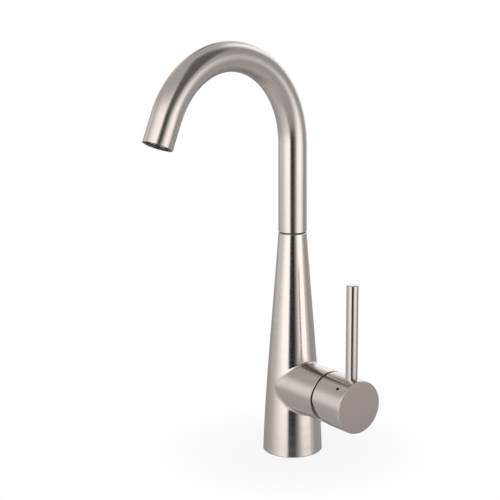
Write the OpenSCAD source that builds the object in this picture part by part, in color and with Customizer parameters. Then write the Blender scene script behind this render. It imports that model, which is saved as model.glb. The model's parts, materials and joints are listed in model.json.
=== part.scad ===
// Gooseneck bar faucet: one-hole, one-lever mixer with a swivel spout.
// Frame: +Z up, the deck is z = 0, the origin is the centre of the base.
// The front is -Y, the handle stands out to +X, and the lever points up.

/* [Body] */
// Height of the body, from the deck to the seam under the spout
body_h = 200; // [160:1:240]
// Diameter of the base on the deck
base_d = 53.6; // [50:0.2:60]
// Swell of the cone's side, largest at a third of its height
body_swell = 0.95; // [0:0.05:2]
// Bevel round the foot
foot_bevel = 0.8; // [0.3:0.1:1.5]
// Bevel on the edges beside both seams
edge_bevel = 0.4; // [0.2:0.1:0.6]
// Wall of the hollow body
body_wall = 2.4; // [2:0.1:3]

/* [Spout] */
// Outer diameter of the tube
tube_d = 25; // [24:0.2:28]
// Wall of the tube
tube_wall = 1.5; // [1:0.1:2]
// Dark bearing ring that shows as the seam
seam_h = 1; // [0.6:0.1:2]
// Straight tube above the seam
neck_h = 78; // [40:1:120]
// Bend radius of the arch, at the tube's centre
arch_r = 75; // [55:1:100]
// Angle that the arch turns through
arch_turn = 156; // [120:0.5:175]
// Straight end after the arch
tip_len = 24; // [18:0.2:40]
// Turn of the spout at rest, away from square to the handle
spout_turn = 9; // [-30:1:30]

/* [Handle] */
// Height of the handle's axis
handle_z = 62.5; // [55:0.5:80]
// Diameter of the branch and of the handle cap
hub_d = 46; // [44:0.2:50]
// Distance of the branch's face from the body's axis
branch_reach = 54; // [52:0.5:64]
// Gap between the branch and the handle cap
seam_gap = 1.8; // [1:0.1:2]
// Length of the handle cap
cap_len = 35.2; // [34:0.2:42]
// Radius of the edge round the cap's end face
cap_round = 0.9; // [0.4:0.1:1.5]
// Angle of the relief under the cap, which lets it tilt
relief_angle = 26; // [25:1:30]
// Height of the relief's upper end above the handle's axis
relief_start = 2.5; // [0:0.5:4]
// Diameter of the lever
lever_d = 10.2; // [8:0.2:11]
// Lever above the cap
lever_len = 81.6; // [60:0.2:110]
// Lever's axis behind the cap's end face
lever_inset = 10.2; // [9:0.2:12]
// Diameter of the set screw
set_screw_d = 2.8; // [2.4:0.2:4]
// Angle of the set screw round the cap, from the lever
screw_turn = 42; // [38:1:60]

/* [Base and water ways] */
// Diameter of the threaded socket for the shank
shank_d = 31.4; // [30:0.2:33]
// Depth of that socket
shank_depth = 12; // [8:1:16]
// Diameter of the threaded hose ports
port_d = 9; // [8:0.1:9.4]
// Depth of the hose ports
port_depth = 10; // [8:1:12]
// Half the distance between the hose ports
port_y = 7.5; // [7:0.1:8]
// Bore of the two inlet tubes
inlet_bore = 6; // [5:0.2:6.4]
// Bore of the tube that takes the mixed water up
riser_bore = 8.4; // [7:0.2:9]
// Wall of the three tubes inside the body
pipe_wall = 1; // [0.8:0.1:1.4]

/* [Clearances] */
// Radial clearance of a running or seated fit
slip = 0.05; // [0.03:0.01:0.08]
// Free space between pieces that move past each other
gap = 0.35; // [0.3:0.05:0.45]

/* [Hidden] */
$fn = 72;
fine = 40;
eps = 0.5;

steel = [0.66, 0.63, 0.61];
shiny = [0.74, 0.73, 0.72];
brass = [0.78, 0.62, 0.32];
copper = [0.72, 0.45, 0.32];
black = [0.07, 0.07, 0.07];
dark = [0.16, 0.15, 0.15];
white = [0.88, 0.88, 0.86];
blue = [0.20, 0.34, 0.62];
clay = [0.93, 0.91, 0.86];

// body
base_r = base_d/2;
tube_r = tube_d/2;
insert_r = base_r - body_wall - 1;
insert_h = shank_depth + port_depth + 8;
gasket_in = insert_r - 4;
gasket_h = 2;
steps = 20;                       // points along the curved side

// swivel: grows with the tube, j is 1 for a 25 mm tube
j = tube_d/25;
bore_r = tube_r - 2.3;            // bore for the swivel
nip_r = tube_r - 3.6;             // swivel nipple
nip_bore = nip_r - 3.4;
nip_tail = 14*j;                  // nipple inside the tube
step_r = nip_r + gap;
step_z = body_h - 30*j;           // floor of the lower bearing ring
nip_z = body_h - 40*j;            // lower end of the nipple
sump_z = nip_z - 1;
roof_z = body_h - 50*j;           // top of the hollow

function at(s) = s*body_h;
function side(s) = base_r + (tube_r - base_r)*s + body_swell*6.75*s*(1 - s)*(1 - s);
function inside(z) = side(z/body_h) - body_wall;

// seats on the nipple, measured down from the body's top
ring_len = 6*j;
seal_d = 2.7;
seal_z = [body_h - 10.3*j, body_h - 17.3*j];
groove_h = seal_d + 0.7;
groove_r = nip_r - 1.6;
snap_z = body_h - 35*j;
snap_t = 1.4;
snap_r = nip_r - 1;               // bottom of its groove

// arch
tube_z = body_h + seam_h + slip;
arch_z = body_h + seam_h + neck_h;
bore_t = tube_r - tube_wall;
weld = 0.05;

// handle
hub_r = hub_d/2;
cap_x = branch_reach + seam_gap;
end_x = cap_x + cap_len;
lever_x = end_x - lever_inset;
lever_r = lever_d/2;
lever_depth = 4;                  // lever sunk in the cap
lever_seat = hub_r - lever_depth;
lever_edge = 0.5;                 // bevel round the lever's top
screw_len = 12;
tail_r = 3;                       // spigot under the lever
tail_z = 9;
tilt = 25;

// cartridge: grows with the branch, k is 1 for a 46 mm branch
cart_r = hub_r - 5.6;
k = cart_r/17.4;

// positions along the handle's axis
seat_x = branch_reach - 37*k;
pivot_x = branch_reach - 6*k;
low_x = seat_x + 0.3;
base_x = seat_x + 7*k;
disc_x = base_x + k;
slide_x = disc_x + 3.5*k;
disc_top = slide_x + 3*k;
carrier_top = disc_top + 7.5*k;
rotor_x = carrier_top + gap + 0.05;
rotor_t = 2.6*k;
lip_x = rotor_x + rotor_t + 0.3;
neck_x = seat_x + 25.5*k;
house_top = seat_x + 28*k;
stop_t = 2.4*k;
nut_x = neck_x + 0.1;
nut_top = seat_x + 32.4*k;
rotor_top = pivot_x + 5*k;

// radii and widths
thread_r = hub_r - 4;
chamber_r = 13.3*k;
barrel_r = 10.8*k;
rotor_r = 12.9*k;
moving_r = 9.8*k;
carrier_r = 10.3*k;
carrier_flat = 7.65*k;
leg_y = 8*k;
neck_r = 14.6*k;
nut_in = 14.8*k;
stop_r = 14.4*k;
tab_r = 14.2*k;
locator_r = 1.8;                  // pins that place the cartridge
locator_y = 11.5*k;
peg_r = 1.3;                      // pegs that drive the moving disc
peg_y = 5*k;
in_y = 4.2*k;
in_z = 3.2*k;
in_r = 1.8*k;
out_z = -4.2*k;
out_r = 3*k;
mix_r = 3.8*k;
seal_w = [1.4, 1.6];              // port seals: inlets, outlet
arm = 12*k;                       // stem's ball below its pivot
ball_r = 2.8*k;
travel = arm*sin(tilt);
rest = -travel/2;
pin_r = 1.5*k;
stem_w = 8*k;
stem_h = 7*k;
square = 7.5*k;
stem_end = lever_x + 4.1;
dome_r = hub_r - 3.4;
dome_t = 1.4;
dome_lip = 0.5;                   // rim that covers the valve body's end
dome_hole = dome_r*0.64;
hollow_r = dome_r + 1;
hollow_x = pivot_x + dome_r + 0.9;
post = 8;                         // half width of the rotor's stop tab, degrees

// outlet, measured back from the mouth of the tube
bush_r = bore_t + 0.2 - slip;
bush_in = bush_r - 1.1;
bush_back = 15;
bush_front = 3;
aer_back = 13;
aer_front = 4;
aer_r = bush_in - slip;

// valve body and the tubes in the hollow body
valve_r = hub_r - 1.7;
block_r = cart_r + 0.6;
flange_x = seat_x - 3;
back_x = -8*k;
port_x = 6;
inlet_r = inlet_bore/2;
inlet_out = inlet_r + pipe_wall;
inlet_low = insert_h - 6;
inlet_high = handle_z - 10.5*k;
riser_r = riser_bore/2;
riser_out = riser_r + pipe_wall;
riser_low = handle_z + 11.5*k;
riser_high = roof_z + 5;

// ---- helpers ----
// a ring or disc along Z
module ring(r_out, r_in, z0, z1) {
    translate([0, 0, z0]) difference() {
        cylinder(r = r_out, h = z1 - z0);
        if (r_in > 0) translate([0, 0, -eps]) cylinder(r = r_in, h = z1 - z0 + 2*eps);
    }
}

// turns Z into the handle's axis; local -X is up
module on_handle() {
    translate([0, 0, handle_z]) rotate([0, 90, 0]) children();
}

// a cylinder along the handle's axis at height z and side y
module rod_x(r, x0, x1, y = 0, z = 0) {
    translate([x0, y, handle_z + z]) rotate([0, 90, 0]) cylinder(r = r, h = x1 - x0);
}

module cone_x(r0, r1, x0, x1) {
    translate([x0, 0, handle_z]) rotate([0, 90, 0]) cylinder(r1 = r0, r2 = r1, h = x1 - x0);
}

module tube_x(r_out, r_in, x0, x1, y = 0, z = 0) {
    difference() {
        rod_x(r_out, x0, x1, y, z);
        rod_x(r_in, x0 - eps, x1 + eps, y, z);
    }
}

// a box along the handle's axis
module box_x(x0, x1, y0, y1, z0, z1) {
    translate([x0, y0, handle_z + z0]) cube([x1 - x0, y1 - y0, z1 - z0]);
}

// puts a piece on the spout, at its turn at rest
module on_spout() {
    rotate([0, 0, spout_turn]) children();
}

// the arch's end: local Z leaves the tube, and 0 is the end of the bend
module at_tip() {
    translate([0, arch_r*(cos(arch_turn) - 1), arch_z + arch_r*sin(arch_turn)])
        rotate([arch_turn, 0, 0]) children();
}

module o_ring(r_mid, d) {
    rotate_extrude() translate([r_mid, 0]) circle(d = d, $fn = fine);
}

// the three ports, shared by every disc they run through
module ports(x0, x1, grow = 0) {
    for (y = [-in_y, in_y]) rod_x(in_r + grow, x0, x1, y, in_z, $fn = fine);
    rod_x(out_r + grow, x0, x1, 0, out_z, $fn = fine);
}

// ---- body ----
module body_outer() {
    rotate_extrude() polygon(concat([[0, 0], [base_r - foot_bevel, 0]],
        [[side(foot_bevel/body_h), foot_bevel]],
        [for (i = [1 : steps - 1]) [side(i/steps), at(i/steps)]],
        [[side(1 - edge_bevel/body_h), body_h - edge_bevel], [tube_r - edge_bevel, body_h]],
        [[0, body_h]]));
}

// the hollow that the inlet and outlet tubes run through
module body_hollow() {
    low = insert_h - eps;
    rotate_extrude() polygon(concat([[0, low]],
        [for (i = [0 : steps/2]) let (z = low + (roof_z - low)*2*i/steps) [inside(z), z]],
        [[0, roof_z]]));
}

module body_shell() color(steel) difference() {
    union() {
        body_outer();
        rod_x(hub_r, 0, branch_reach - edge_bevel);
        cone_x(hub_r, hub_r - edge_bevel, branch_reach - edge_bevel, branch_reach);
    }
    body_hollow();
    translate([0, 0, -eps]) cylinder(r = insert_r + slip, h = insert_h + eps);
    // seat of the valve body
    rod_x(block_r + slip, port_x, flange_x + eps);
    rod_x(valve_r + slip, flange_x, branch_reach + eps);
    // seat of the mixed water tube, and the bore for the swivel
    translate([0, 0, roof_z - eps]) cylinder(r = riser_out + slip, h = riser_high - roof_z + eps);
    translate([0, 0, riser_high - eps]) cylinder(r = riser_r, h = sump_z - riser_high + 2*eps);
    translate([0, 0, step_z]) cylinder(r = bore_r, h = body_h - step_z + eps);
    translate([0, 0, sump_z]) cylinder(r = step_r, h = step_z - sump_z + eps);
    translate([0, 0, snap_z - snap_t/2 - gap]) cylinder(r = bore_r, h = snap_t + 2*gap);
}

module base_insert() color(brass) difference() {
    union() {
        cylinder(r = gasket_in, h = insert_h);
        translate([0, 0, gasket_h]) cylinder(r = insert_r, h = insert_h - gasket_h);
    }
    // socket for the shank, hose ports and seats of the inlet tubes
    translate([0, 0, -eps]) cylinder(d = shank_d, h = shank_depth + eps);
    for (s = [-1, 1]) translate([port_x, s*port_y, 0]) {
        cylinder(d = port_d, h = shank_depth + port_depth, $fn = fine);
        cylinder(r = inlet_r, h = insert_h + eps, $fn = fine);
        translate([0, 0, inlet_low]) cylinder(r = inlet_out + slip, h = insert_h, $fn = fine);
    }
}

module base_gasket() color(black) ring(insert_r, gasket_in + slip, 0, gasket_h);

module valve_body() color(brass) difference() {
    union() {
        rod_x(block_r, back_x, flange_x + 1);
        rod_x(valve_r, flange_x, branch_reach - dome_lip);
    }
    // ways from the inlet tubes, and to the mixed water tube
    for (s = [-1, 1]) translate([port_x, s*port_y, 0]) {
        cylinder(r = inlet_r, h = handle_z + in_z + in_r, $fn = fine);
        cylinder(r = inlet_out + slip, h = inlet_high, $fn = fine);
    }
    for (y = [-in_y, in_y]) rod_x(in_r, port_x, seat_x + eps, y, in_z, $fn = fine);
    rod_x(out_r, 0, seat_x + eps, 0, out_z, $fn = fine);
    translate([0, 0, handle_z + out_z]) cylinder(r = riser_r, h = hub_r);
    translate([0, 0, riser_low]) cylinder(r = riser_out + slip, h = hub_r);
    // cartridge bore, thread of the nut and dome, holes for the locating pins
    rod_x(cart_r + 0.1, seat_x, branch_reach + eps);
    rod_x(thread_r, neck_x - 0.5, branch_reach + eps);
    for (s = [-1, 1])
        rod_x(locator_r + 0.1, seat_x - 3.2, seat_x + eps, s*locator_y, 0, $fn = fine);
}

module inlet_tube(y) {
    translate([port_x, y, 0]) ring(inlet_out, inlet_r, inlet_low, inlet_high);
}

module cold_inlet_tube() color(copper) inlet_tube(-port_y);
module hot_inlet_tube() color(copper) inlet_tube(port_y);
module mixed_water_tube() color(copper) ring(riser_out, riser_r, riser_low, riser_high);

// ---- swivel ----
module upper_slide_ring() color(dark) union() {
    ring(tube_r - edge_bevel - 0.1, nip_r + slip, body_h, body_h + seam_h);
    ring(bore_r - slip, nip_r + slip, body_h - ring_len, body_h);
}

module lower_slide_ring() color(white)
    ring(bore_r - slip, nip_r + slip, step_z, step_z + ring_len + 1);

module spout_nipple() color(brass) on_spout() difference() {
    union() {
        translate([0, 0, nip_z]) cylinder(r = nip_r, h = tube_z - nip_z);
        translate([0, 0, tube_z]) cylinder(r = bore_t - slip, h = nip_tail);
    }
    translate([0, 0, nip_z - eps]) cylinder(r = nip_bore, h = tube_z + nip_tail + 2*eps - nip_z);
    for (z = seal_z) ring(nip_r + eps, groove_r, z - groove_h/2, z + groove_h/2);
    ring(nip_r + eps, snap_r, snap_z - snap_t/2 - slip, snap_z + snap_t/2 + slip);
}

module nipple_seal(z) {
    translate([0, 0, z]) o_ring(groove_r + slip + seal_d/2, seal_d);
}

module upper_nipple_seal() color(black) nipple_seal(seal_z[0]);
module lower_nipple_seal() color(black) nipple_seal(seal_z[1]);

module snap_ring() color(shiny) on_spout() difference() {
    ring(bore_r - gap, snap_r + slip, snap_z - snap_t/2, snap_z + snap_t/2);
    translate([-2, 0, snap_z - snap_t]) cube([4, bore_r + eps, 2*snap_t]);
}

// ---- spout ----
module spout_tube() color(steel) on_spout() union() {
    rotate_extrude() polygon([[bore_t, tube_z], [tube_r - edge_bevel, tube_z],
        [tube_r, tube_z + edge_bevel], [tube_r, arch_z], [bore_t, arch_z]]);
    translate([0, -arch_r, arch_z]) rotate([90, 0, 90])
        rotate_extrude(angle = arch_turn, $fn = 120) translate([arch_r, 0]) difference() {
            circle(r = tube_r, $fn = 72);
            circle(r = bore_t, $fn = 72);
        }
    // the straight end starts inside the wall of the bend
    at_tip() ring(tube_r - weld, bore_t + 0.2, -1, tip_len);
}

module outlet_bush() color(shiny) on_spout() at_tip()
    ring(bush_r, bush_in, tip_len - bush_back, tip_len - bush_front);

module aerator_shell() color(dark) on_spout() at_tip() difference() {
    translate([0, 0, tip_len - aer_back]) cylinder(r = aer_r, h = aer_back - aer_front);
    translate([0, 0, tip_len - aer_front - 2]) cylinder(r = aer_r - 1.6, h = 2 + eps);
    translate([0, 0, tip_len - aer_back - eps]) cylinder(r = aer_r - 2.4, h = aer_back + eps);
    translate([0, 0, tip_len - aer_back - eps]) cylinder(r = aer_r - 1.2, h = 3 + eps);
    // four notches for the key
    for (a = [0 : 90 : 270]) rotate([0, 0, a + 45])
        translate([aer_r - 1.9, -1, tip_len - aer_front - 1]) cube([1.2, 2, 1 + eps]);
}

module aerator_grid() color(dark) on_spout() at_tip()
    translate([0, 0, tip_len - aer_front - 2]) difference() {
        cylinder(r = aer_r - 1.6 - slip, h = 1);
        translate([0, 0, -eps]) cylinder(r = 0.9, h = 1 + 2*eps, $fn = 6);
        for (q = [[6, 2.4], [12, 4.7]]) for (i = [0 : q[0] - 1]) rotate([0, 0, i*360/q[0]])
            translate([q[1]*(aer_r - 2.6)/6.6, 0, -eps]) cylinder(r = 0.95, h = 1 + 2*eps, $fn = 6);
    }

module aerator_jet_plate() color(blue) on_spout() at_tip()
    translate([0, 0, tip_len - aer_back + 1]) difference() {
        cylinder(r = aer_r - 1.2 - slip, h = 2);
        for (i = [0 : 9]) rotate([0, 0, i*36]) translate([(aer_r - 3.4), 0, -eps])
            cylinder(r = 0.6, h = 2 + 2*eps, $fn = 6);
    }

module aerator_washer() color(black) on_spout() at_tip()
    ring(bush_in - slip, bush_in - 2.2, tip_len - aer_back - 1.6, tip_len - aer_back);

// ---- cartridge ----
module cartridge_base() color(white) difference() {
    union() {
        rod_x(cart_r - 0.2, low_x, base_x);
        for (s = [-1, 1])
            rod_x(locator_r, seat_x - 2.6, low_x + 1, s*locator_y, 0, $fn = fine);
    }
    ports(seat_x - eps, base_x + eps);
    for (y = [-in_y, in_y]) rod_x(in_r + seal_w[0], seat_x - eps, low_x + 2, y, in_z, $fn = fine);
    rod_x(out_r + seal_w[1], seat_x - eps, low_x + 2, 0, out_z, $fn = fine);
}

module inlet_seal(y) {
    tube_x(in_r + seal_w[0] - slip, in_r + slip, seat_x, low_x + 2, y, in_z, $fn = fine);
}

module cold_port_seal() color(black) inlet_seal(-in_y);
module hot_port_seal() color(black) inlet_seal(in_y);
module outlet_port_seal() color(black)
    tube_x(out_r + seal_w[1] - slip, out_r + slip, seat_x, low_x + 2, 0, out_z, $fn = fine);

module disc_gasket() color(black) difference() {
    rod_x(chamber_r - slip, base_x, disc_x);
    ports(base_x - eps, disc_x + eps, 0.2);
}

module fixed_disc() color(clay) difference() {
    rod_x(chamber_r - slip, disc_x, slide_x);
    ports(disc_x - eps, slide_x + eps);
}

module moving_disc() color(clay) difference() {
    rod_x(moving_r, slide_x + slip, disc_top, 0, rest);
    // chamber that joins the ports, and holes for the carrier's pegs
    rod_x(mix_r, slide_x - eps, slide_x + 1.6, 0, rest - 0.5, $fn = fine);
    for (s = [-1, 1])
        rod_x(peg_r + slip, disc_top - 1.3, disc_top + eps, s*peg_y, rest, $fn = fine);
}

module disc_carrier() color(blue) difference() {
    union() {
        intersection() {
            rod_x(carrier_r, disc_top, carrier_top, 0, rest);
            box_x(disc_top - eps, carrier_top + eps, -carrier_flat, carrier_flat, -20*k, 20*k);
        }
        for (s = [-1, 1]) rod_x(peg_r, disc_top - 1.25, disc_top + 1, s*peg_y, rest, $fn = fine);
    }
    // pocket of the stem's ball
    rod_x(ball_r + gap, pivot_x - arm - ball_r - gap, carrier_top + eps, $fn = fine);
    translate([carrier_top - 2*k, 0, handle_z]) rotate([0, 90, 0])
        cylinder(r1 = ball_r + gap, r2 = ball_r + gap + 2.5*k, h = 2.5*k, $fn = fine);
}

module rotor() color(white) difference() {
    union() {
        rod_x(rotor_r, rotor_x, rotor_x + rotor_t);
        rod_x(barrel_r, rotor_x, rotor_top);
        // legs that turn the carrier and let it slide
        for (s = [-1, 1]) intersection() {
            rod_x(rotor_r, disc_top + 2.5*k, rotor_x + 1);
            box_x(disc_top, rotor_x + 2, s > 0 ? leg_y : -rotor_r, s > 0 ? rotor_r : -leg_y,
                -leg_y, leg_y);
        }
        // tab that meets the temperature stop
        intersection() {
            rod_x(tab_r, nut_top - 1.6*k, nut_top);
            box_x(house_top, nut_top + eps, -tab_r*sin(post), tab_r*sin(post), 8*k, 15*k);
        }
    }
    // slots for the stem, one each way from its pin
    box_x(pivot_x - 1, rotor_top + eps, -stem_w/2 - gap, stem_w/2 + gap,
        -stem_h/2 - 4*k, stem_h/2 + 0.45);
    box_x(rotor_x - eps, pivot_x + 1, -stem_w/2 - gap, stem_w/2 + gap,
        -stem_h/2 - 0.45, stem_h/2 + 3.4*k);
    translate([pivot_x, 0, handle_z]) rotate([90, 0, 0])
        cylinder(r = pin_r + 0.02, h = 2*barrel_r + 4, center = true, $fn = fine);
}

module stem_pin() color(shiny) translate([pivot_x, 0, handle_z]) rotate([90, 0, 0])
    cylinder(r = pin_r, h = 2*(barrel_r - 0.5), center = true, $fn = fine);

module stem() color(shiny) difference() {
    union() {
        translate([pivot_x - arm, 0, handle_z]) sphere(r = ball_r, $fn = fine);
        rod_x(ball_r*0.75, pivot_x - arm, pivot_x - 5*k, $fn = fine);
        box_x(pivot_x - 6*k, pivot_x + 6*k, -stem_w/2, stem_w/2, -stem_h/2, stem_h/2);
        rod_x(stem_w/2, pivot_x + 5*k, hollow_x);
        translate([hollow_x - 0.5, 0, handle_z]) rotate([screw_turn, 0, 0])
            translate([0, -square/2, -square/2]) cube([stem_end + 0.5 - hollow_x, square, square]);
    }
    translate([pivot_x, 0, handle_z]) rotate([90, 0, 0])
        cylinder(r = pin_r + slip, h = stem_w + 2, center = true, $fn = fine);
}

module cartridge_housing() color(white) difference() {
    union() {
        rod_x(cart_r, base_x, neck_x);
        rod_x(neck_r, neck_x - 1, house_top);
    }
    rod_x(chamber_r, base_x - eps, lip_x);
    rod_x(barrel_r + slip, lip_x - 1, house_top + eps);
}

module temperature_stop() color(blue) union() {
    tube_x(stop_r, 11.3*k, house_top, house_top + stop_t);
    // raised stop, open over the tab's travel at the top
    on_handle() rotate([0, 0, 180 + 55]) translate([0, 0, nut_top - stop_t])
        rotate_extrude(angle = 250) translate([11.4*k, 0]) square([2.9*k, stop_t]);
}

module cartridge_nut() color(brass) difference() {
    tube_x(thread_r - 0.15, nut_in, nut_x, nut_top);
    // slots for the spanner
    for (a = [0 : 90 : 270]) translate([nut_top - 2, 0, handle_z]) rotate([a, 0, 0])
        translate([0, -2, 14*k]) cube([3, 4, 10*k]);
}

module dome_ring() color(black) tube_x(thread_r - 0.2, thread_r - 1.8, nut_top, nut_top + 1);

module trim_dome() color(steel) difference() {
    union() {
        intersection() {
            translate([pivot_x, 0, handle_z]) rotate([0, 90, 0]) sphere(r = dome_r);
            rod_x(dome_r + 1, branch_reach - 0.2, branch_reach + dome_r);
        }
        rod_x(thread_r - 0.1, nut_top + 1, branch_reach);
        rod_x(valve_r - slip, branch_reach - dome_lip, branch_reach);
    }
    translate([pivot_x, 0, handle_z]) rotate([0, 90, 0]) sphere(r = dome_r - dome_t);
    rod_x(thread_r - 1.7, nut_top, branch_reach - dome_lip - 0.1);
    rod_x(dome_hole, branch_reach, branch_reach + dome_r);
}

// ---- handle ----
module cap_outer() {
    translate([cap_x, 0, handle_z]) rotate([0, 90, 0]) rotate_extrude() polygon(concat(
        [[0, 0], [hub_r - edge_bevel, 0], [hub_r, edge_bevel]],
        [for (a = [0 : 15 : 90])
            [hub_r - cap_round*(1 - cos(a)), cap_len - cap_round*(1 - sin(a))]],
        [[0, cap_len]]));
}

module handle_cap() color(steel) difference() {
    cap_outer();
    rod_x(hollow_r, cap_x - eps, hollow_x);
    // relief under the rear edge
    translate([0, hub_r + 1, handle_z]) rotate([90, 0, 0]) linear_extrude(hub_d + 2)
        polygon([[cap_x - 2, relief_start], [cap_x, relief_start],
            [cap_x + (relief_start + hub_r + 1)*tan(relief_angle), -hub_r - 1],
            [cap_x - 2, -hub_r - 1]]);
    // socket for the stem and hole of the set screw
    translate([hollow_x - 1, 0, handle_z]) rotate([screw_turn, 0, 0])
        translate([0, -square/2 - slip, -square/2 - slip])
            cube([stem_end + 1.1 - hollow_x, square + 2*slip, square + 2*slip]);
    translate([lever_x, 0, handle_z]) rotate([screw_turn, 0, 0])
        cylinder(d = set_screw_d + 2*slip, h = hub_r + 1, $fn = fine);
    // seat of the lever
    translate([lever_x, 0, handle_z + lever_seat]) cylinder(r = lever_r + slip, h = lever_depth + 2);
    translate([lever_x, 0, handle_z + tail_z]) cylinder(r = tail_r + slip, h = lever_seat, $fn = fine);
}

module lever_rod() color(steel) union() {
    translate([lever_x, 0, handle_z + tail_z + 0.2])
        cylinder(r = tail_r, h = lever_seat - tail_z, $fn = fine);
    translate([lever_x, 0, handle_z + lever_seat])
        cylinder(r = lever_r, h = hub_r - lever_seat + lever_len - lever_edge);
    translate([lever_x, 0, handle_z + hub_r + lever_len - lever_edge])
        cylinder(r1 = lever_r, r2 = lever_r - lever_edge, h = lever_edge);
}

module set_screw() color(dark) translate([lever_x, 0, handle_z]) rotate([screw_turn, 0, 0])
    difference() {
        translate([0, 0, square/2 + slip]) cylinder(d = set_screw_d, h = screw_len, $fn = fine);
        translate([0, 0, square/2 + screw_len - 2]) cylinder(d = 1.7, h = 4, $fn = 6);
    }

// ---- assembly ----
body_shell();
base_insert();
base_gasket();
valve_body();
cold_inlet_tube();
hot_inlet_tube();
mixed_water_tube();
spout_tube();
spout_nipple();
upper_nipple_seal();
lower_nipple_seal();
snap_ring();
upper_slide_ring();
lower_slide_ring();
outlet_bush();
aerator_washer();
aerator_jet_plate();
aerator_shell();
aerator_grid();
cartridge_base();
cold_port_seal();
hot_port_seal();
outlet_port_seal();
disc_gasket();
fixed_disc();
moving_disc();
disc_carrier();
rotor();
stem_pin();
stem();
cartridge_housing();
temperature_stop();
cartridge_nut();
dome_ring();
trim_dome();
handle_cap();
lever_rod();
set_screw();
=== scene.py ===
import json
import math

import bmesh
import bpy
from mathutils import Matrix, Vector


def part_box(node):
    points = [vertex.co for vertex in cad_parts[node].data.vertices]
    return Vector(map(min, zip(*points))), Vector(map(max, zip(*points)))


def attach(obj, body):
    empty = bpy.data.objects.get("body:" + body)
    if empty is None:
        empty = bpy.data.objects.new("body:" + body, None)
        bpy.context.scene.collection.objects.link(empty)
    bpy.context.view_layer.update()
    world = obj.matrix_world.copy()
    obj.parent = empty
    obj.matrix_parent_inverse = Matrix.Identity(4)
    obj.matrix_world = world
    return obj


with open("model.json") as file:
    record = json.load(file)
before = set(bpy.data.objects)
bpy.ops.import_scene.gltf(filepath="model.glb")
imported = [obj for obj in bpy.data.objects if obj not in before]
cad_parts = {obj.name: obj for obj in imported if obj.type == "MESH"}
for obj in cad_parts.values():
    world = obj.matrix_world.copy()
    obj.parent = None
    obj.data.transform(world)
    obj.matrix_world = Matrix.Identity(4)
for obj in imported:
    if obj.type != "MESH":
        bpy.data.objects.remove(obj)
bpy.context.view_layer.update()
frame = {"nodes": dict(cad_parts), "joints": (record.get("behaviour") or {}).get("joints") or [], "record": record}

MM = 0.001


def named(rows, name):
    """The one of the frame's mounts or joints that has this name."""
    return next(row for row in rows if row["name"] == name)


# places and sizes that the frame gives
MOUNTS = frame["record"]["mounts"]
SHANK_R = named(MOUNTS, "shank_thread")["dims"]["r_mm"] * MM
PORT_R = named(MOUNTS, "hot_inlet_thread")["dims"]["r_mm"] * MM
PORT_X, PORT_Y = named(MOUNTS, "hot_inlet_thread")["pos_m"][:2]
BODY_H = named(frame["joints"], "spout_swivel")["pos_m"][2]
HANDLE_Z = named(frame["joints"], "temperature_turn")["pos_m"][2]
CAP_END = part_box("handle_cap")[1].x

# sizes that the finishes and the fillet follow, as in the part's source
BASE_R = 26.8 * MM
TUBE_R = 12.5 * MM
SWELL = 0.95 * MM                 # of the cone's side, over a straight one
SWELL_SCALE = 27 / 4              # brings the highest point of the swell's curve to 1
SEAM_H, NECK_H = 1 * MM, 78 * MM
ARCH_Z = BODY_H + SEAM_H + NECK_H
ARCH_R = 75 * MM
SPOUT_TURN = math.radians(9)
HUB_R = 23 * MM                   # of the branch and of the cap

# camera, fitted to the photograph, in the pixels of its square frame
CAMERA_AT = Vector((0.80984, -0.63729, 0.38926))
CAMERA_RIGHT = Vector((0.61704, 0.78693, 0.0))
CAMERA_FORWARD = Vector((-0.76762, 0.60190, -0.22017))
FRAME_PX = 500
FOCAL_PX = 1192.216
CENTRE_PX = (290.5, 280.4)
SENSOR_MM = 36
CLIP_NEAR, CLIP_FAR = 0.05, 50


# ---- node helpers ----
class Wire:
    """A socket that arithmetic turns into Math nodes."""

    def __init__(self, tree, socket):
        self.tree, self.socket = tree, socket

    def op(self, operation, *values):
        return math_node(self.tree, operation, self, *values)

    def __add__(self, other):
        return self.op("ADD", other)

    def __sub__(self, other):
        return self.op("SUBTRACT", other)

    def __rsub__(self, other):
        return math_node(self.tree, "SUBTRACT", other, self)

    def __mul__(self, other):
        return self.op("MULTIPLY", other)

    def __truediv__(self, other):
        return self.op("DIVIDE", other)

    __radd__ = __add__
    __rmul__ = __mul__


def plug(tree, socket, value):
    """Sets a socket to a number, or links a wire to it."""
    if isinstance(value, Wire):
        tree.links.new(value.socket, socket)
    elif value is not None:
        socket.default_value = value


def add(tree, kind, **settings):
    node = tree.nodes.new(kind)
    for name, value in settings.items():
        setattr(node, name, value)
    return node


def math_node(tree, operation, *values):
    node = add(tree, "ShaderNodeMath", operation=operation)
    for socket, value in zip(node.inputs, values):
        plug(tree, socket, value)
    return Wire(tree, node.outputs[0])


def length(x, y):
    return (x * x + y * y).op("SQRT")


def angle(y, x):
    return y.op("ARCTAN2", x)


def vector(tree, x, y, z):
    node = add(tree, "ShaderNodeCombineXYZ")
    for socket, value in zip(node.inputs, (x, y, z)):
        plug(tree, socket, value)
    return Wire(tree, node.outputs[0])


def split(tree, source):
    node = add(tree, "ShaderNodeSeparateXYZ")
    plug(tree, node.inputs[0], source)
    return [Wire(tree, out) for out in node.outputs]


def coordinates(tree, kind="Object"):
    return Wire(tree, add(tree, "ShaderNodeTexCoord").outputs[kind])


def ramp(wire, low, high, a=0.0, b=1.0, smooth=True):
    """wire taken from low..high to a..b, held at both ends."""
    node = add(wire.tree, "ShaderNodeMapRange", clamp=True)
    node.interpolation_type = "SMOOTHSTEP" if smooth else "LINEAR"
    for socket, value in zip(node.inputs, (wire, low, high, a, b)):
        plug(wire.tree, socket, value)
    return Wire(wire.tree, node.outputs[0])


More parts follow.
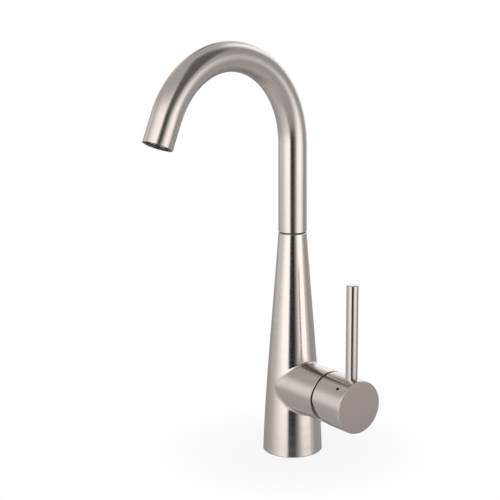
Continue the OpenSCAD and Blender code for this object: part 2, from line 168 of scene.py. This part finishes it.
def fade(wire, start, full, last, end):
    """0 up to start, 1 from full to last, and 0 from end on. A side without edges stays at 1."""
    mask = 1.0
    if full is not None:
        mask = ramp(wire, start, full)
    if last is not None:
        mask = mask * ramp(wire, last, end, 1.0, 0.0)
    return mask


def between(mask, a, b):
    return a * (1.0 - mask) + b * mask


def noise(tree, where, scale=1.0, detail=2.0):
    node = add(tree, "ShaderNodeTexNoise", noise_dimensions="3D")
    plug(tree, node.inputs["Vector"], where)
    node.inputs["Scale"].default_value = scale
    node.inputs["Detail"].default_value = detail
    return Wire(tree, node.outputs[0])


def blend_colours(tree, mask, a, b):
    node = add(tree, "ShaderNodeMix", data_type="RGBA")
    plug(tree, node.inputs["Factor"], mask)
    for name, value in (("A", a), ("B", b)):
        socket = [s for s in node.inputs if s.name == name and s.type == "RGBA"][0]
        if isinstance(value, Wire):
            plug(tree, socket, value)
        else:
            socket.default_value = (*value, 1.0)
    return Wire(tree, [s for s in node.outputs if s.type == "RGBA"][0])


def mix_shaders(tree, share, first, second):
    node = add(tree, "ShaderNodeMixShader")
    plug(tree, node.inputs["Fac"], share)
    tree.links.new(first.outputs[0], node.inputs[1])
    tree.links.new(second.outputs[0], node.inputs[2])
    return node


def bump(tree, height, depth, after=None):
    node = add(tree, "ShaderNodeBump")
    node.inputs["Strength"].default_value = 1.0
    node.inputs["Distance"].default_value = depth
    plug(tree, node.inputs["Height"], height)
    plug(tree, node.inputs["Normal"], after)
    return Wire(tree, node.outputs[0])


def finish_material(name):
    """A new material with its Principled shader, and the object coordinates."""
    material = bpy.data.materials.new(name)
    material.use_nodes = True
    tree = material.node_tree
    return material, tree, tree.nodes["Principled BSDF"], coordinates(tree)


# ---- where the grain runs ----
ALONG_X, ALONG_Z = (1.0, 0.0, 0.0), (0.0, 0.0, 1.0)
END_EDGE = (0.06 * MM, 0.02 * MM)      # behind the cap's end, where its side gives way to the flat face
END_CELLS = 40.0                       # brush cells per metre across that face
BRANCH_EDGE = (0.1 * MM, 0.5 * MM)     # outside the cone, where its grain gives way to the branch's
ARCH_EDGE = (-0.1 * MM, 0.1 * MM)      # above the neck, where the arch's grain takes over


def side_of_body(z):
    """Radius of the cone's side at height z."""
    s = z * (1 / BODY_H)
    left = 1.0 - s
    return BASE_R + (TUBE_R - BASE_R) * s + SWELL * SWELL_SCALE * (s * left * left)


def on_end(x, end_x):
    """1 on the flat face at end_x, and 0 on the side behind it."""
    return ramp(x, end_x - END_EDGE[0], end_x - END_EDGE[1])


def upright(tree, x, y, z):
    """Along, around and tangent for a piece turned about the vertical axis."""
    return z, angle(y, x), ALONG_Z


def sideways(tree, x, y, z):
    """The same about the handle's axis."""
    return x, angle(y, z - HANDLE_Z), ALONG_X


def cap_grain(tree, x, y, z):
    """Round the cap, and straight across its flat end."""
    end = on_end(x, CAP_END)
    along = between(end, x, z)
    around = between(end, angle(y, z - HANDLE_Z), y * END_CELLS)
    return along, around, vector(tree, 1.0 - end, 0.0, end)


def body_grain(tree, x, y, z):
    """Round the cone, and round the branch that stands out of it."""
    branch = ramp(length(x, y) - side_of_body(z), *BRANCH_EDGE)
    up, side = upright(tree, x, y, z), sideways(tree, x, y, z)
    along = between(branch, up[0], side[0])
    around = between(branch, up[1], side[1])
    return along, around, vector(tree, branch, 0.0, 1.0 - branch)


def spout_grain(tree, x, y, z):
    """Follows the tube up the neck and over the arch."""
    turn_c, turn_s = math.cos(SPOUT_TURN), math.sin(SPOUT_TURN)
    across = x * turn_c + y * turn_s
    ahead = y * turn_c - x * turn_s
    above = z - ARCH_Z
    arch = ramp(above, *ARCH_EDGE)
    turned = angle(above, ahead + ARCH_R)
    along = between(arch, z, ARCH_Z + turned * ARCH_R)
    from_middle = length(ahead + ARCH_R, above) - ARCH_R
    around = angle(across, between(arch, ahead, from_middle))
    climb_y = between(arch, 0.0 * z, turned.op("SINE") * -1.0)
    climb_z = between(arch, 0.0 * z + 1.0, turned.op("COSINE"))
    tangent = vector(tree, climb_y * -turn_s, climb_y * turn_c, climb_z)
    return along, around, tangent


def lever_grain(tree, x, y, z):
    """Round the lever's own axis."""
    lo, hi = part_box("lever_rod")
    return z, angle(y, x - (lo.x + hi.x) / 2), ALONG_Z


# ---- finishes ----
NOISE_MEAN, NOISE_RANGE = 0.5, (0.3, 0.7)    # where the noise texture's values lie

# brushed steel: (noise cells per metre along the piece, per radian around it, pattern)
FINE_LINES, FINE_SHARE = (5200.0, 2.2, 0.0), 0.6
COARSE_LINES, COARSE_SHARE = (900.0, 1.6, 3.0), 0.4
STEEL_CLOUDS = 38.0               # cells per metre
LINE_SHADES = (0.955, 1.035)      # of the tint, from the darkest line to the lightest
LINE_DEPTH = 0.003 * MM
LINE_ROUGH, CLOUD_ROUGH = 0.06, 0.05
ANISOTROPY = 0.55

# turned metal: noise cells per metre in x, y and z for the tool's marks, and in all three for the clouds
TOOL_MARKS = (900.0, 900.0, 2600.0)
MARK_DEPTH = 0.005 * MM
METAL_CLOUDS, METAL_SHADE, METAL_ROUGH = 70.0, 0.86, 0.2

# threads as relief
SHANK_PITCH, PORT_PITCH = 1.5 * MM, 1.0 * MM
THREAD_EDGES = (-0.4 * MM, -0.2 * MM, 0.2 * MM, 0.4 * MM)    # from the bore's wall
THREAD_DEPTH = 0.8 * MM
PORT_SHARE = 0.7                  # of that depth in the hose ports
HALF_PITCH = 0.5

# moulded plastic, rubber and ceramic, with pores and clouds in cells per metre
PORES, PORE_DEPTH, PORE_ROUGH = 2600.0, 0.01 * MM, 0.15
PLASTIC_CLOUDS, PLASTIC_SHADE = 90.0, 0.9

WARM_STEEL = (0.66, 0.607, 0.582)
# painted shade: the cap's flat end face is darkened in its base colour
END_FACE_PAINTED_SHADE = (0.425, 0.378, 0.364)
# painted shade: the dome seen in the narrow gap under the cap is darkened in its base colour
DOME_PAINTED_SHADE = (0.42, 0.39, 0.37)
LEVER_STEEL = (0.63, 0.595, 0.575)
BRASS = (0.74, 0.58, 0.30)


def shaded(tint, shade):
    return [min(channel * shade, 1.0) for channel in tint]


def brush_lines(tree, along, around, lines, detail):
    """Noise drawn out round the piece."""
    per_metre, per_radian, pattern = lines
    return noise(tree, vector(tree, along * per_metre, around * per_radian, pattern), detail=detail)


def brushed_steel(name, grain, rough, tint, lines=1.0, end_x=None):
    """Satin steel with fine brush lines round the piece, lines times as deep as LINE_DEPTH.
    A flat face at end_x gets a darker base colour, which is painted shade."""
    material, tree, shader, where = finish_material(name)
    x, y, z = split(tree, where)
    along, around, tangent = grain(tree, x, y, z)
    fine = brush_lines(tree, along, around, FINE_LINES, detail=2.0)
    coarse = brush_lines(tree, along, around, COARSE_LINES, detail=3.0)
    cloud = noise(tree, where, scale=STEEL_CLOUDS, detail=3.0)
    streak = fine * FINE_SHARE + coarse * COARSE_SHARE
    colour = blend_colours(tree, ramp(streak, *NOISE_RANGE, smooth=False),
                           *(shaded(tint, shade) for shade in LINE_SHADES))
    if end_x is not None:
        # painted shade: the flat end face takes the darker colour
        colour = blend_colours(tree, on_end(x, end_x), colour, END_FACE_PAINTED_SHADE)
    plug(tree, shader.inputs["Base Color"], colour)
    shader.inputs["Metallic"].default_value = 1.0
    uneven = rough + (coarse - NOISE_MEAN) * LINE_ROUGH + (cloud - NOISE_MEAN) * CLOUD_ROUGH
    plug(tree, shader.inputs["Roughness"], uneven)
    shader.inputs["Anisotropic"].default_value = ANISOTROPY
    if not isinstance(tangent, Wire):
        tangent = vector(tree, *tangent)
    to_world = add(tree, "ShaderNodeVectorTransform", vector_type="VECTOR",
                   convert_from="OBJECT", convert_to="WORLD")
    plug(tree, to_world.inputs[0], tangent)
    plug(tree, shader.inputs["Tangent"], Wire(tree, to_world.outputs[0]))
    plug(tree, shader.inputs["Normal"], bump(tree, streak, LINE_DEPTH * lines))
    return material


def machined(name, tint, rough):
    """Plain turned metal: brass, copper or steel with tool marks."""
    material, tree, shader, where = finish_material(name)
    scaled = [wire * cells for wire, cells in zip(split(tree, where), TOOL_MARKS)]
    lines = noise(tree, vector(tree, *scaled), detail=2.0)
    cloud = noise(tree, where, scale=METAL_CLOUDS, detail=3.0)
    colour = blend_colours(tree, ramp(cloud, *NOISE_RANGE), shaded(tint, METAL_SHADE), tint)
    plug(tree, shader.inputs["Base Color"], colour)
    shader.inputs["Metallic"].default_value = 1.0
    plug(tree, shader.inputs["Roughness"], rough + (cloud - NOISE_MEAN) * METAL_ROUGH)
    plug(tree, shader.inputs["Normal"], bump(tree, lines, MARK_DEPTH))
    return material


def thread(from_axis, radius, turns):
    """Ridges on the wall of a bore, one for each whole turn."""
    wall = fade(from_axis, *(radius + edge for edge in THREAD_EDGES))
    return wall * turns.op("FRACT").op("PINGPONG", HALF_PITCH)


def threaded_brass(name, tint, rough):
    """Brass with the threads of the shank socket and of the hose ports as relief."""
    material = machined(name, tint, rough)
    tree = material.node_tree
    shader = tree.nodes["Principled BSDF"]
    before = Wire(tree, shader.inputs["Normal"].links[0].from_socket)
    x, y, z = split(tree, coordinates(tree))
    shank = thread(length(x, y), SHANK_R, angle(y, x) * (1 / math.tau) + z / SHANK_PITCH)
    port = thread(length(x - PORT_X, y.op("ABSOLUTE") - PORT_Y), PORT_R, z / PORT_PITCH)
    relief = bump(tree, shank + port * PORT_SHARE, THREAD_DEPTH, before)
    plug(tree, shader.inputs["Normal"], relief)
    return material


def moulded(name, tint, rough, pores=1.0):
    """Moulded or fired: a little unevenness, and fine pores, pores times as deep as PORE_DEPTH."""
    material, tree, shader, where = finish_material(name)
    grain = noise(tree, where, scale=PORES, detail=2.0)
    cloud = noise(tree, where, scale=PLASTIC_CLOUDS, detail=3.0)
    colour = blend_colours(tree, ramp(cloud, *NOISE_RANGE), shaded(tint, PLASTIC_SHADE), tint)
    plug(tree, shader.inputs["Base Color"], colour)
    plug(tree, shader.inputs["Roughness"], rough + (grain - NOISE_MEAN) * PORE_ROUGH)
    plug(tree, shader.inputs["Normal"], bump(tree, grain, PORE_DEPTH * pores))
    return material


RECIPES = {
    "satin_body": (brushed_steel, dict(grain=body_grain, rough=0.18, tint=WARM_STEEL)),
    "satin_spout": (brushed_steel, dict(grain=spout_grain, rough=0.20, tint=WARM_STEEL)),
    "satin_cap": (brushed_steel, dict(grain=cap_grain, rough=0.20, tint=WARM_STEEL, end_x=CAP_END)),
    # painted shade: the dome's darker tint stands in for the shadow in the gap
    "satin_dome": (brushed_steel, dict(grain=sideways, rough=0.30, tint=DOME_PAINTED_SHADE)),
    "satin_lever": (brushed_steel, dict(grain=lever_grain, rough=0.15, tint=LEVER_STEEL, lines=0.35)),
    "bright_steel": (machined, dict(tint=(0.72, 0.71, 0.70), rough=0.22)),
    "screw_steel": (machined, dict(tint=(0.10, 0.095, 0.09), rough=0.45)),
    "brass": (machined, dict(tint=BRASS, rough=0.3)),
    "threaded_brass": (threaded_brass, dict(tint=BRASS, rough=0.3)),
    "copper": (machined, dict(tint=(0.72, 0.42, 0.29), rough=0.32)),
    "rubber": (moulded, dict(tint=(0.025, 0.025, 0.025), rough=0.75, pores=1.5)),
    "dark_plastic": (moulded, dict(tint=(0.035, 0.03, 0.028), rough=0.5)),
    "white_plastic": (moulded, dict(tint=(0.80, 0.80, 0.78), rough=0.5)),
    "blue_plastic": (moulded, dict(tint=(0.10, 0.22, 0.48), rough=0.45)),
    "ceramic": (moulded, dict(tint=(0.90, 0.88, 0.82), rough=0.12, pores=0.2)),
}
FINISHES = {name: make(name, **looks) for name, (make, looks) in RECIPES.items()}
OWN_FINISH = {
    "body_shell": "satin_body",
    "spout_tube": "satin_spout",
    "handle_cap": "satin_cap",
    "trim_dome": "satin_dome",
    "lever_rod": "satin_lever",
    "base_insert": "threaded_brass",
}


def dress_nodes():
    """Gives each CAD node its finish: its own, or the one of its material slot."""
    for row in frame["record"]["subparts"]:
        node = frame["nodes"][row["node"]]
        finish = FINISHES[OWN_FINISH.get(row["node"], row["material_slot"])]
        for slot in node.material_slots:
            slot.material = finish


# ---- the form that the solids leave out ----
BLEND_R, BLEND_SIDE, BLEND_TIP = 1.8 * MM, 7 * MM, 20 * MM
SIDE_POWER, TIP_POWER = 4, 60     # how soon the radius drops again away from the two flat sides
BLEND_RINGS, BLEND_ARC = 144, 8   # sections round the branch, and faces along each
BLEND_ROOT = 1.2 * MM             # depth of the hidden edge in the metal
SLOPE_STEP, FOOT_STEPS = 1 * MM, 6     # in the search for the ball's foot on the cone


def place(name, data):
    """A new object in the scene."""
    thing = bpy.data.objects.new(name, data)
    bpy.context.scene.collection.objects.link(thing)
    return thing


def mesh_from(name, shape):
    mesh = bpy.data.meshes.new(name)
    shape.to_mesh(mesh)
    shape.free()
    return mesh


def blend_loop(shape, turn):
    """One section of the fillet: the arc of a ball that rests on cone and branch, and a hidden root."""
    side = math.cos(turn)
    radius = BLEND_R + BLEND_SIDE * side ** SIDE_POWER + BLEND_TIP * side ** TIP_POWER
    out = Vector((0, math.cos(turn), math.sin(turn)))
    y, z = out.y * (HUB_R + radius), HANDLE_Z + out.z * (HUB_R + radius)
    foot = z                      # height at which the ball touches the cone
    for _ in range(FOOT_STEPS):
        rise = side_of_body(foot + SLOPE_STEP) - side_of_body(foot - SLOPE_STEP)
        slope = rise / (2 * SLOPE_STEP)
        tilt = math.hypot(1, slope)
        foot = z + radius * slope / tilt
    reach = side_of_body(foot) + radius / tilt
    ball = Vector((math.sqrt(reach * reach - y * y), y, z))
    flat = Vector((ball.x, ball.y, 0)).normalized()
    to_cone = -(flat - Vector((0, 0, slope))).normalized()
    to_branch = -out
    to_root = (to_cone + to_branch).normalized()
    arms = [to_cone.slerp(to_branch, j / BLEND_ARC) for j in range(BLEND_ARC + 1)]
    loop = [shape.verts.new(ball + arm * radius) for arm in arms]
    loop.append(shape.verts.new(ball + to_root * (radius + BLEND_ROOT)))
    return loop


def make_blend():
    """The ground weld where the branch leaves the cone: a small fillet, wider at the two flat sides."""
    shape = bmesh.new()
    loops = [blend_loop(shape, math.tau * i / BLEND_RINGS) for i in range(BLEND_RINGS)]
    corners = len(loops[0])
    for here, there in zip(loops, loops[1:] + loops[:1]):
        for j in range(corners):
            k = (j + 1) % corners
            face = shape.faces.new((here[j], here[k], there[k], there[j]))
            face.smooth = True
        for j in (0, BLEND_ARC):
            shape.edges.get((here[j], there[j])).smooth = False
    bmesh.ops.recalc_face_normals(shape, faces=shape.faces)
    piece = place("branch_blend", mesh_from("branch_blend", shape))
    piece.data.materials.append(FINISHES["satin_body"])
    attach(piece, "body")


# ---- studio ----
# Directions in degrees: turn from the camera's side, + to its right, and rise above the horizon. "aside" is
# the turn to either side, and "lean" is a turn that leans to the right as it rises.
DEGREES = 180 / math.pi
LIGHT_TURN = 4.5                  # between the camera's side and the studio's
LEAN = 0.6                        # degrees of turn for each degree of rise
FLOOR_LEVEL, WALL_LEVEL, FLOOR_EDGE = 0.52, 0.43, (-70, -30)
LEFT_GLOW, LEFT_GLOW_TURN = 0.08, (-122, -94, -80, -52)

# Patches of light and dark, each laid over those before it: the turn that it goes by, its edges in that turn
# and in the rise, in the order of fade, and its level. None leaves a side open.
ROOM = (
    ("turn", (None, None, None, None), (15, 40, None, None), 0.52),      # upper walls
    ("aside", (120, 150, None, None), (20, 32, 46, 58), 0.70),           # wall above the window
    ("aside", (126, 160, None, None), (-11, -1, 21, 31), 1.25),          # window behind
    ("turn", (109, 127, 149, 167), (18, 30, 49, 61), 1.45),              # lamp beside the window
    ("turn", (-132, -112, -98, -78), (-18, 4, 11, 33), 1.0),             # light strip on the left
    ("turn", (-226, -214, -152, -140), (32, 38, 42, 48), 0.08),          # dark beam behind
    ("aside", (140, 165, None, None), (None, None, -22, -12), 0.28),     # dim floor behind
    ("turn", (18, 34, 82, 98), (8, 20, 40, 52), 0.52),                   # pale wall on the right
    ("turn", (88, 104, 120, 136), (12, 24, 54, 66), 0.42),               # dim wall beside it
)
# dark ceiling high on the right: it climbs with the turn, and its left side leans with the rise
CEILING_LEVEL, CEILING_CLIMB, CEILING_LEAN = 0.14, 0.42, 0.3
CEILING_FOOT, CEILING_LEFT, CEILING_RIGHT = (-6, 4), (2, 12), (104, 130)
# wide soft panels on both sides of the photographer, the left one with a weaker lower part
PANEL_LEVEL = 1.65
LEFT_PANEL_TURN, LEFT_PANEL_LEAN, LEFT_PANEL_TOP = (-94, -42), (-22, -6), (25, 58)
LEFT_PANEL_FOOT = ((0.4, (-72, -24)), (0.6, (-25, -4)))
FRONT = (
    ("turn", (0, 16, 28, 44), (-23, -15, 20, 28), 0.12),                 # dark gap between the panels
    ("turn", (14, 58, 66, 106), (-27, -7, 3, 21), PANEL_LEVEL),          # right panel
    ("lean", (-17, -9, 12, 20), (-25, -15, 21, 31), 0.01),               # photographer
)
WHITE = (1, 1, 1, 1)
LIGHT_GREEN, LIGHT_BLUE = 0.978, 0.96    # of the red, which makes the light warm
LIGHT_BASE = 0.003                       # added to both, so that the darks stay neutral

FLOOR_R, FLOOR_SIDES, FLOOR_DROP = 1.6, 96, 0.05 * MM
FLOOR_GREY = 0.93
SHADOW_R = (0.03, 0.16)           # over which the shadow fades out
FLOOR_GLOW = (0.86, 1.0)          # share of plain white at both


def make_camera():
    data = bpy.data.cameras.new("photo_camera")
    camera = place("photo_camera", data)
    up = CAMERA_RIGHT.cross(CAMERA_FORWARD)
    turned = Matrix((CAMERA_RIGHT, up, -CAMERA_FORWARD)).transposed().to_4x4()
    camera.matrix_world = Matrix.Translation(CAMERA_AT) @ turned
    data.sensor_fit = "HORIZONTAL"
    data.sensor_width = SENSOR_MM
    data.lens = FOCAL_PX * SENSOR_MM / FRAME_PX
    data.shift_x = 0.5 - CENTRE_PX[0] / FRAME_PX
    data.shift_y = CENTRE_PX[1] / FRAME_PX - 0.5
    data.clip_start, data.clip_end = CLIP_NEAR, CLIP_FAR
    bpy.context.scene.camera = camera


def studio_level(tree):
    """Brightness of the studio in the direction that the world shader looks in."""
    x, y, z = split(tree, coordinates(tree, "Generated"))
    to_camera = (-CAMERA_FORWARD.to_2d()).normalized()
    to_right = CAMERA_RIGHT.to_2d().normalized()
    ahead = x * to_camera.x + y * to_camera.y
    right = x * to_right.x + y * to_right.y
    turn = angle(right, ahead) * DEGREES + LIGHT_TURN
    rise = z.op("ARCSINE") * DEGREES
    turns = {"turn": turn, "aside": turn.op("ABSOLUTE"), "lean": turn - rise.op("MAXIMUM", 0.0) * LEAN}

    def laid_over(level, patches):
        for goes_by, turn_edges, rise_edges, patch_level in patches:
            mask = fade(turns[goes_by], *turn_edges) * fade(rise, *rise_edges)
            level = between(mask, level, patch_level)
        return level

    level = ramp(rise, *FLOOR_EDGE, FLOOR_LEVEL, WALL_LEVEL)
    level = level + fade(turn, *LEFT_GLOW_TURN) * LEFT_GLOW
    level = laid_over(level, ROOM)
    ceiling = ramp(rise - turn * CEILING_CLIMB, *CEILING_FOOT)
    ceiling = ceiling * ramp(turn - rise * CEILING_LEAN, *CEILING_LEFT)
    ceiling = ceiling * ramp(turn, *CEILING_RIGHT, 1.0, 0.0)
    level = between(ceiling, level, CEILING_LEVEL)
    panel = ramp(turn, *LEFT_PANEL_TURN, smooth=False) * ramp(turns["lean"], *LEFT_PANEL_LEAN, 1.0, 0.0)
    foot = sum(share * ramp(rise, *edges) for share, edges in LEFT_PANEL_FOOT)
    panel = panel * foot * ramp(rise, *LEFT_PANEL_TOP, 1.0, 0.0)
    return laid_over(between(panel, level, PANEL_LEVEL), FRONT)


def make_studio_light():
    """The world: a studio for the steel to mirror, and a white backdrop for the camera."""
    world = bpy.data.worlds.new("studio")
    bpy.context.scene.world = world
    world.use_nodes = True
    tree = world.node_tree
    tree.nodes.clear()
    level = studio_level(tree)
    green, blue = level * LIGHT_GREEN + LIGHT_BASE, level * LIGHT_BLUE + LIGHT_BASE
    studio = add(tree, "ShaderNodeBackground")
    plug(tree, studio.inputs["Color"], vector(tree, level, green, blue))
    backdrop = add(tree, "ShaderNodeBackground")
    backdrop.inputs["Color"].default_value = WHITE
    seen = Wire(tree, add(tree, "ShaderNodeLightPath").outputs["Is Camera Ray"])
    mix = mix_shaders(tree, seen, studio, backdrop)
    out = add(tree, "ShaderNodeOutputWorld")
    tree.links.new(mix.outputs[0], out.inputs["Surface"])


def make_floor():
    """A pale round floor that keeps a soft shadow, fades into the white backdrop and isn't mirrored."""
    shape = bmesh.new()
    bmesh.ops.create_circle(shape, cap_ends=True, segments=FLOOR_SIDES, radius=FLOOR_R)
    floor = place("floor", mesh_from("floor", shape))
    floor.location.z = -FLOOR_DROP
    material = bpy.data.materials.new("pale_floor")
    material.use_nodes = True
    tree = material.node_tree
    tree.nodes.clear()
    x, y, _ = split(tree, coordinates(tree))
    matt = add(tree, "ShaderNodeBsdfDiffuse")
    matt.inputs["Color"].default_value = (FLOOR_GREY, FLOOR_GREY, FLOOR_GREY, 1)
    glow = add(tree, "ShaderNodeEmission")
    glow.inputs["Color"].default_value = WHITE
    pale = mix_shaders(tree, ramp(length(x, y), *SHADOW_R, *FLOOR_GLOW), matt, glow)
    clear = add(tree, "ShaderNodeBsdfTransparent")
    mirrored = Wire(tree, add(tree, "ShaderNodeLightPath").outputs["Is Glossy Ray"])
    below = Wire(tree, add(tree, "ShaderNodeNewGeometry").outputs["Backfacing"])
    mix = mix_shaders(tree, mirrored.op("MAXIMUM", below), pale, clear)
    out = add(tree, "ShaderNodeOutputMaterial")
    tree.links.new(mix.outputs[0], out.inputs["Surface"])
    floor.data.materials.append(material)


dress_nodes()
make_blend()
make_camera()
make_studio_light()
make_floor()
bpy.context.scene.view_settings.view_transform = "Standard"
